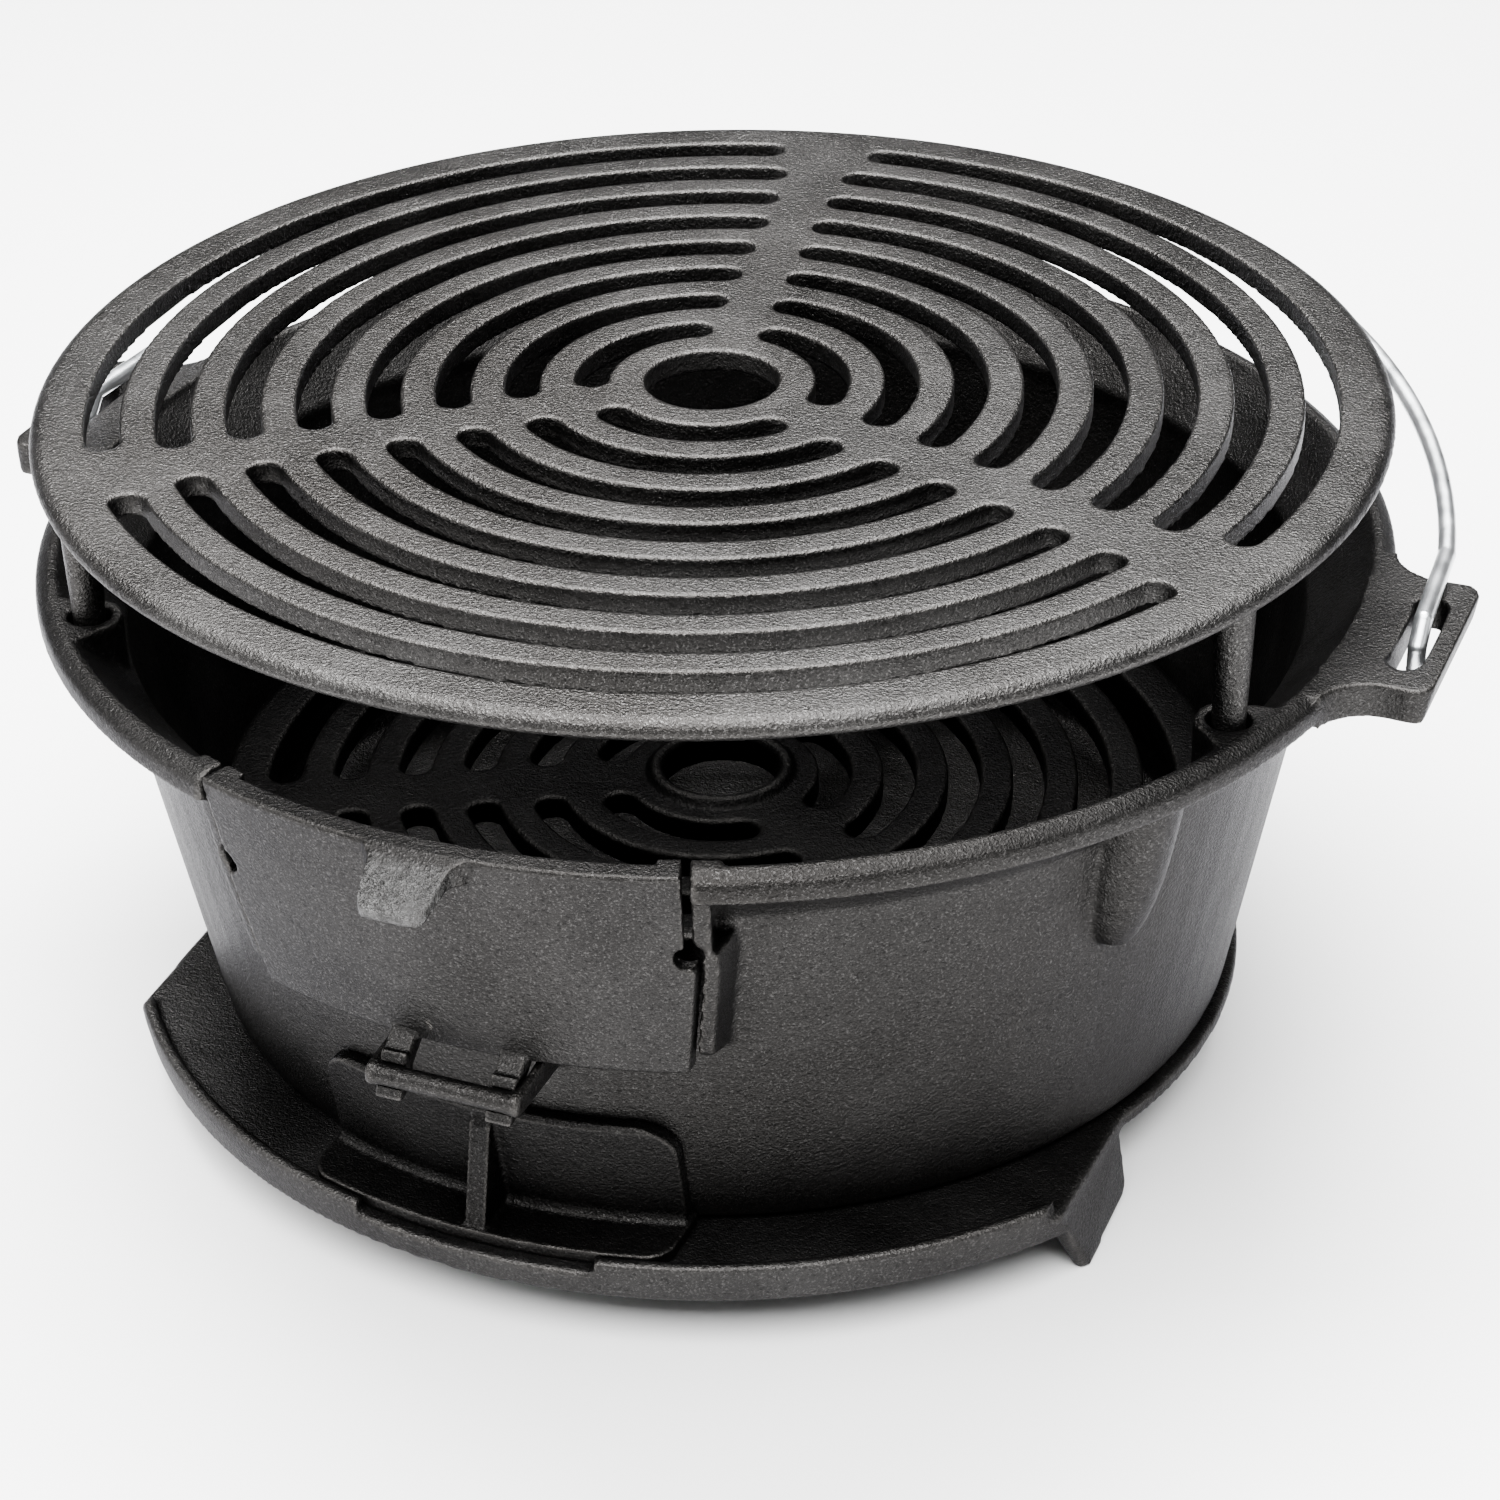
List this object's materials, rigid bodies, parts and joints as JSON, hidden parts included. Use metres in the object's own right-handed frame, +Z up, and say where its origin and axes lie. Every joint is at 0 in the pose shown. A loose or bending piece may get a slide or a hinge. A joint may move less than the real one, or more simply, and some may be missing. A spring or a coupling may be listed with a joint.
{
  "type": "hibachi grill",
  "caption": "Round cast-iron hibachi grill with a footed ash tray, charcoal grate, legged grill grate, flip-down coal door, sliding draft door and folding wire bail.",
  "frame": {"origin": "centre of the object's box on the ground plane, which is the fire bowl's axis at the level of the feet", "axes": "+Z up along the fire bowl's axis, -Y towards the coal door and the draft door, +X towards one of the two bail ears"},
  "size_m": [0.384, 0.372, 0.181],
  "materials": {
    "bowl_iron": "seasoned cast iron, fine sandy texture",
    "tray_iron": "seasoned cast iron, fine sandy texture",
    "coal_grate_iron": "seasoned cast iron, fine sandy texture",
    "grill_grate_iron": "seasoned cast iron, slightly brighter and smoother on top",
    "door_iron": "seasoned cast iron, brighter rough pull tab",
    "draft_iron": "seasoned cast iron, fine sandy texture",
    "bail_wire": "bright zinc-plated drawn wire",
    "bolt_steel": "blackened steel",
    "washer_steel": "zinc-plated steel",
    "nut_steel": "blackened steel"
  },
  "bodies": {
    "base": {"fire_bowl": "bowl_iron", "base_tray": "tray_iron", "tie_bolts": "bolt_steel", "tie_washers": "washer_steel", "tie_nuts": "nut_steel"},
    "coal_grate": {"charcoal_grate": "coal_grate_iron"},
    "cooking_grate": {"grill_grate": "grill_grate_iron"},
    "front_door": {"coal_door": "door_iron"},
    "air_door": {"draft_door": "draft_iron"},
    "bail": {"bail_handle": "bail_wire"}
  },
  "joints": [
    {"name": "grill_grate_lift", "type": "slide", "parent": "base", "child": "cooking_grate", "axis": [0, 0, 1], "range_m": [0, 0.3]},
    {"name": "charcoal_grate_lift", "type": "slide", "parent": "base", "child": "coal_grate", "axis": [0, 0, 1], "range_m": [0, 0.1]},
    {"name": "coal_door_hinge", "type": "hinge", "parent": "base", "child": "front_door", "pos_m": [0, -0.167, 0.076], "axis": [1, 0, 0], "range_deg": [0, 165]},
    {"name": "draft_door_slide", "type": "hinge", "parent": "base", "child": "air_door", "pos_m": [0, 0, 0.0235], "axis": [0, 0, 1], "range_deg": [-31, 31]},
    {"name": "bail_hinge", "type": "hinge", "parent": "base", "child": "bail", "pos_m": [0, 0, 0.1462], "axis": [1, 0, 0], "range_deg": [0, 160]}
  ]
}
